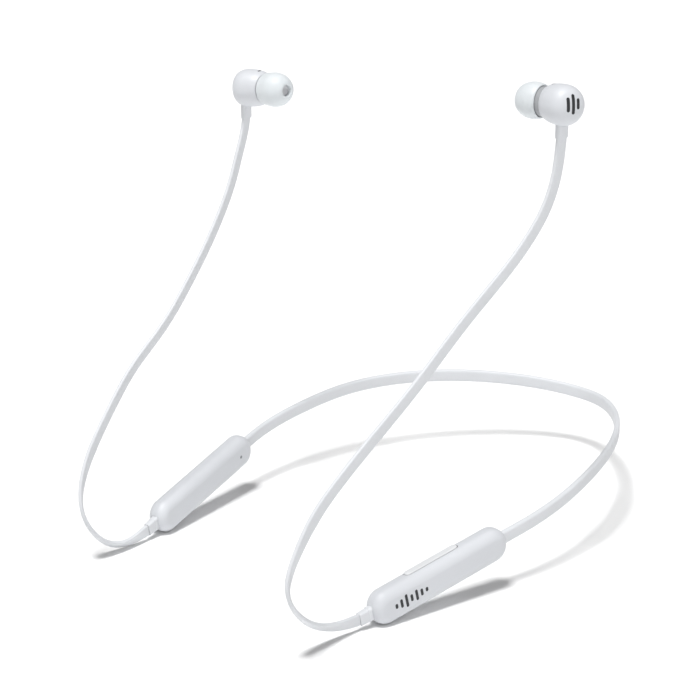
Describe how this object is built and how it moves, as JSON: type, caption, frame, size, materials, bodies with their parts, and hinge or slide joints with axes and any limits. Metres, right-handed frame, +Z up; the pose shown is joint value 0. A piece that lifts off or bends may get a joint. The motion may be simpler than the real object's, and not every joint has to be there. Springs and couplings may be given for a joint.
{
  "type": "neckband earphones",
  "caption": "Sprung flat neckband with a control housing at each end, flat ear cables rising in front to magnetic-backed earbuds with silicone tips, shown as worn.",
  "frame": {"origin": "centre of the neckband's section at the nape of the neck", "axes": "+Z up, -Y the way the wearer faces, +X the wearer's left"},
  "size_m": [0.1432, 0.2159, 0.1693],
  "materials": {
    "shell_white": "satin",
    "key_white": "satin",
    "ribbon_white": "matt",
    "silicone_white": "matt, slightly see-through",
    "grey_plastic": "satin",
    "steel": "bright",
    "spring_alloy": "drawn wire",
    "copper": "bare",
    "board_green": "solder mask",
    "black_plastic": "satin",
    "magnet": "nickel plated",
    "cell_foil": "foil",
    "foam": "open cell",
    "light_guide": "clear"
  },
  "bodies": {
    "headset": {"neckband_jacket": "ribbon_white", "neckband_spring_wire": "spring_alloy", "neckband_conductors": "copper", "left_outer_shell": "shell_white", "left_inner_shell": "shell_white", "left_housing_relief": "ribbon_white", "left_wire_anchor": "steel", "play_switch": "black_plastic", "volume_up_switch": "black_plastic", "volume_down_switch": "black_plastic", "left_circuit_board": "board_green", "left_shield_can": "steel", "microphone": "steel", "usb_c_shell": "steel", "usb_c_tongue": "black_plastic", "right_outer_shell": "shell_white", "right_inner_shell": "shell_white", "right_housing_relief": "ribbon_white", "right_wire_anchor": "steel", "power_switch": "black_plastic", "status_light": "light_guide", "right_control_board": "board_green", "battery_cell": "cell_foil", "battery_foam": "foam", "cell_protection_board": "board_green", "left_ear_cable": "ribbon_white", "right_ear_cable": "ribbon_white", "left_bud_cap": "shell_white", "left_bud_barrel": "shell_white", "left_bud_magnet": "magnet", "left_bud_driver": "steel", "left_bud_relief": "ribbon_white", "left_bud_nozzle": "grey_plastic", "left_bud_collar": "grey_plastic", "left_bud_screen": "steel", "right_bud_cap": "shell_white", "right_bud_barrel": "shell_white", "right_bud_magnet": "magnet", "right_bud_driver": "steel", "right_bud_relief": "ribbon_white", "right_bud_nozzle": "grey_plastic", "right_bud_collar": "grey_plastic", "right_bud_screen": "steel"},
    "volume_rocker": {"volume_rocker": "key_white"},
    "play_button": {"play_button": "key_white"},
    "power_button": {"power_button": "key_white"},
    "left_ear_tip": {"left_ear_tip": "silicone_white"},
    "right_ear_tip": {"right_ear_tip": "silicone_white"}
  },
  "joints": [
    {"name": "volume_rocker_tilt", "type": "hinge", "parent": "headset", "child": "volume_rocker", "pos_m": [0.05685, -0.15131, -0.00709], "axis": [0.9833, -0.1822, 0], "range_deg": [-2, 2], "stiffness_Nm_per_rad": 0.3},
    {"name": "play_button_press", "type": "slide", "parent": "headset", "child": "play_button", "axis": [0.9833, -0.1822, 0], "range_m": [0, 0.0003], "stiffness_N_per_m": 1500, "springref_m": -0.0003},
    {"name": "power_button_press", "type": "slide", "parent": "headset", "child": "power_button", "axis": [0.9833, 0.1822, 0], "range_m": [0, 0.0003], "stiffness_N_per_m": 1500, "springref_m": -0.0003},
    {"name": "left_ear_tip_pull", "type": "slide", "parent": "headset", "child": "left_ear_tip", "axis": [-0.9961, -0.0872, -0.0162], "range_m": [0, 0.008]},
    {"name": "right_ear_tip_pull", "type": "slide", "parent": "headset", "child": "right_ear_tip", "axis": [0.9978, 0.0166, 0.0647], "range_m": [0, 0.008]}
  ]
}
